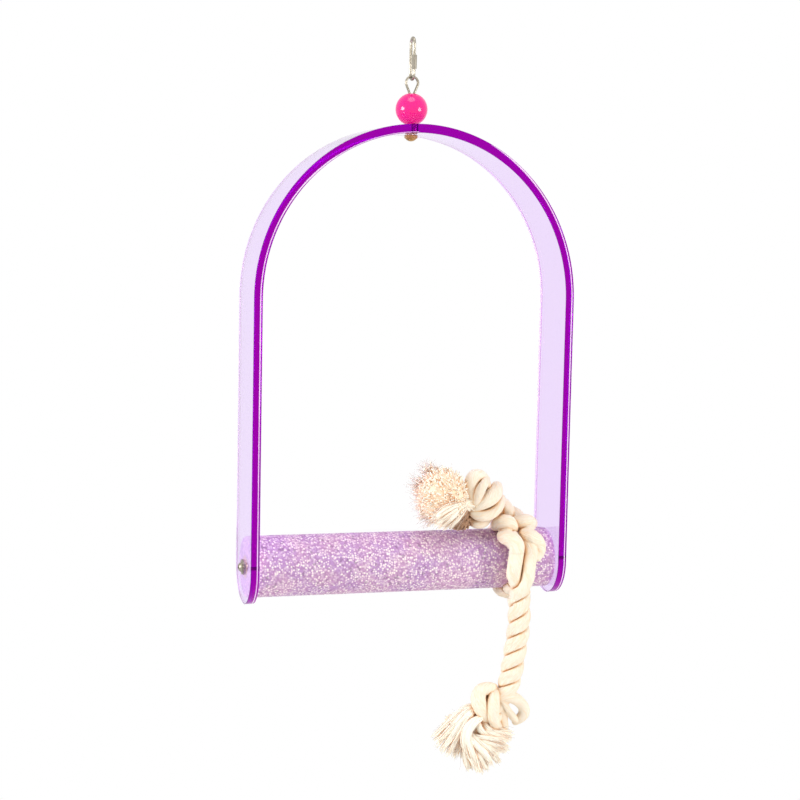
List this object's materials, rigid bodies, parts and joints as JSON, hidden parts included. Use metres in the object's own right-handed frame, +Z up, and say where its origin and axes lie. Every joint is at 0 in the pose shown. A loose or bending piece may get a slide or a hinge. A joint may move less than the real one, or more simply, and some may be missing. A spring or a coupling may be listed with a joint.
{
  "type": "hanging bird swing",
  "caption": "Bird swing: a bent clear arch holds a gritted round perch between its legs, hangs from an eye pin and quick link, and carries a knotted cotton rope.",
  "frame": {"origin": "hang point: the inside of the quick link's top bend, where a cage wire carries it", "axes": "+X along the perch, +Y from front to back through the arch, +Z up"},
  "size_m": [0.234, 0.0887, 0.511],
  "materials": {
    "nickel_steel": "nickel-plated steel wire and screws, bright with a faint warm cast",
    "brass": "polished brass",
    "pink_plastic": "glossy opaque pink",
    "purple_acrylic": "clear polished acrylic, pale violet through its faces and deep purple at its edges",
    "core_wood": "plain dowel",
    "gritted_cement": "lilac cement set with pale grit and mica flecks",
    "cotton_rope": "natural undyed cotton, laid in two strands"
  },
  "bodies": {
    "quick_link": {"quick_link_body": "nickel_steel"},
    "sleeve_nut": {"quick_link_sleeve_nut": "nickel_steel"},
    "hanging_pin": {"eye_pin": "nickel_steel", "cap_nut": "brass"},
    "bead": {"spacer_bead": "pink_plastic"},
    "swing": {"arch_frame": "purple_acrylic", "perch_core": "core_wood", "perch_grit_sleeve": "gritted_cement", "perch_screw_left": "nickel_steel", "perch_screw_right": "nickel_steel", "screw_washer_left": "nickel_steel", "screw_washer_right": "nickel_steel", "rope_hitch": "cotton_rope", "rope_strand_left": "cotton_rope", "rope_strand_right": "cotton_rope", "rope_upper_knot": "cotton_rope", "rope_upper_tassel": "cotton_rope"},
    "rope_tail": {"rope_hanging_length": "cotton_rope", "rope_lower_knot": "cotton_rope", "rope_lower_tassel": "cotton_rope"}
  },
  "joints": [
    {"name": "sleeve_nut_travel", "type": "slide", "parent": "quick_link", "child": "sleeve_nut", "axis": [0, 0, 1], "range_m": [0, 0.0068]},
    {"name": "swing_to_and_fro", "type": "hinge", "parent": "quick_link", "child": "hanging_pin", "pos_m": [0, 0, -0.02505], "axis": [1, 0, 0], "range_deg": [-60, 60]},
    {"name": "arch_swivel", "type": "hinge", "parent": "hanging_pin", "child": "swing", "pos_m": [0, 0, -0.06], "axis": [0, 0, 1], "continuous": true},
    {"name": "bead_spin", "type": "hinge", "parent": "hanging_pin", "child": "bead", "pos_m": [0, 0, -0.04719], "axis": [0, 0, 1], "continuous": true},
    {"name": "rope_tail_swing", "type": "hinge", "parent": "swing", "child": "rope_tail", "pos_m": [0.07588, -0.03108, -0.39466], "axis": [1, 0, 0], "range_deg": [-45, 45]}
  ]
}
